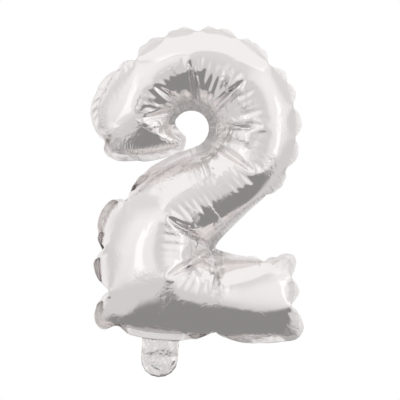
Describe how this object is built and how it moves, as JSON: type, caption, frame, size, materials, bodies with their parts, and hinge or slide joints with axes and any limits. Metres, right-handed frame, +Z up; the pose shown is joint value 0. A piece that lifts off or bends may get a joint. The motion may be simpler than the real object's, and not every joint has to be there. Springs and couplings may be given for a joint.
{
  "type": "foil number balloon",
  "caption": "Silver foil balloon in the shape of the figure two, blown up, with a crimped flat rim, a self-sealing valve and a flat fill tail under its base.",
  "frame": {"origin": "middle of the fold line where the fill tail leaves the bottom rim, in the seam plane", "axes": "+Z up along the figure's height, -Y out of the front of the figure, +X to the figure's right as it is read"},
  "size_m": [0.2336, 0.101, 0.3857],
  "materials": {
    "foil": "mirror-bright metallised film, finely creased",
    "valve_film": "thin clear polyethylene film"
  },
  "bodies": {
    "balloon": {"front_panel": "foil", "rear_panel": "foil", "valve_front_film": "valve_film", "valve_rear_film": "valve_film"},
    "fill_tail": {"tail_front_film": "foil", "tail_rear_film": "foil", "valve_mouth_front_film": "valve_film", "valve_mouth_rear_film": "valve_film"}
  },
  "joints": [
    {"name": "tail_fold", "type": "hinge", "parent": "balloon", "child": "fill_tail", "pos_m": [0, 0, 0], "axis": [1, 0, 0], "range_deg": [-85, 85], "stiffness_Nm_per_rad": 0.0002}
  ]
}
